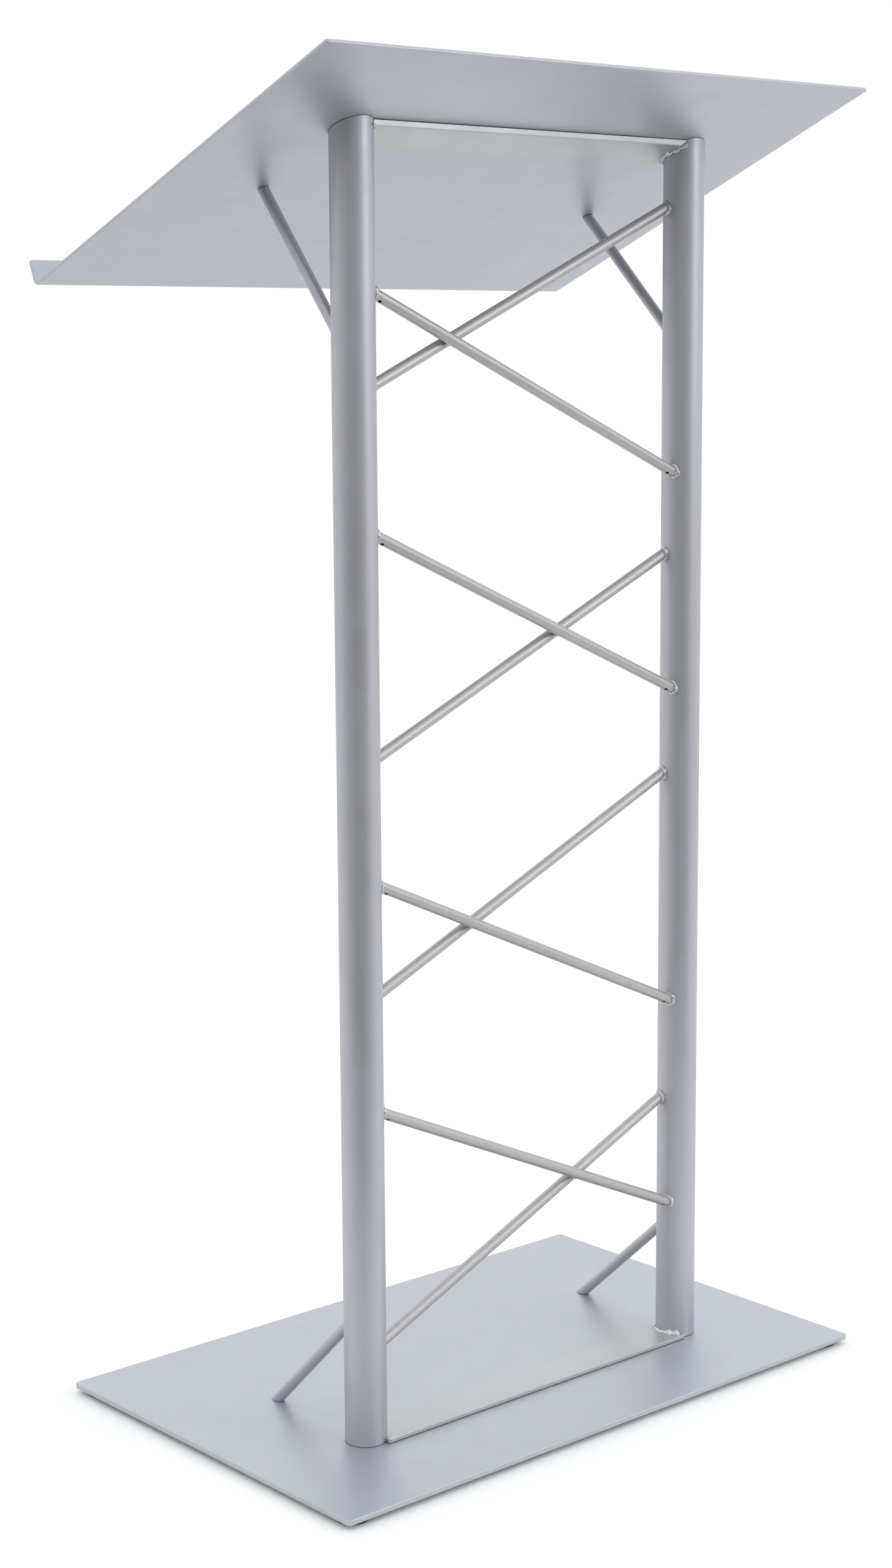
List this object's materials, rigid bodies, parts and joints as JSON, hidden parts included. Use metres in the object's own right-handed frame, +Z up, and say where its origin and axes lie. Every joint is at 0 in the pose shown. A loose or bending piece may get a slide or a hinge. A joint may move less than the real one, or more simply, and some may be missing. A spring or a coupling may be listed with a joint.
{
  "type": "presentation lectern",
  "caption": "Free-standing lectern with a sloping folded desk on round posts, tied by crossing truss tubes, flat bars and braces, on a flat base plate with rubber feet.",
  "frame": {"origin": "on the floor, under the middle of the overall box", "axes": "+Z up; -Y is the audience's side, where the desk is highest; +Y is the speaker's side, where the desk ends in a lip; +X is to the right of someone who looks from the audience"},
  "size_m": [0.64, 0.4318, 1.2135],
  "materials": {
    "silver_powder_coat": "satin silver-grey metallic powder coat over welded steel",
    "zinc_plated_steel": "bright zinc plating",
    "black_rubber": "matt moulded rubber"
  },
  "bodies": {
    "root": {"base_plate": "silver_powder_coat", "desk_panel": "silver_powder_coat", "left_post": "silver_powder_coat", "right_post": "silver_powder_coat", "truss_rising_1": "silver_powder_coat", "truss_rising_2": "silver_powder_coat", "truss_rising_3": "silver_powder_coat", "truss_rising_4": "silver_powder_coat", "truss_falling_1": "silver_powder_coat", "truss_falling_2": "silver_powder_coat", "truss_falling_3": "silver_powder_coat", "truss_falling_4": "silver_powder_coat", "upper_left_brace": "silver_powder_coat", "upper_right_brace": "silver_powder_coat", "lower_left_brace": "silver_powder_coat", "lower_right_brace": "silver_powder_coat", "top_bar": "silver_powder_coat", "bottom_bar": "silver_powder_coat", "left_post_plug": "zinc_plated_steel", "right_post_plug": "zinc_plated_steel", "post_screw_left": "zinc_plated_steel", "post_screw_right": "zinc_plated_steel", "base_bar_screw_left": "zinc_plated_steel", "base_bar_screw_middle": "zinc_plated_steel", "base_bar_screw_right": "zinc_plated_steel", "base_brace_screw_left": "zinc_plated_steel", "base_brace_screw_right": "zinc_plated_steel", "desk_bar_screw_left": "zinc_plated_steel", "desk_bar_screw_middle": "zinc_plated_steel", "desk_bar_screw_right": "zinc_plated_steel", "desk_brace_screw_left": "zinc_plated_steel", "desk_brace_screw_right": "zinc_plated_steel", "foot_screw_front_left": "zinc_plated_steel", "foot_screw_front_right": "zinc_plated_steel", "foot_screw_rear_left": "zinc_plated_steel", "foot_screw_rear_right": "zinc_plated_steel", "foot_front_left": "black_rubber", "foot_front_right": "black_rubber", "foot_rear_left": "black_rubber", "foot_rear_right": "black_rubber"}
  },
  "joints": []
}
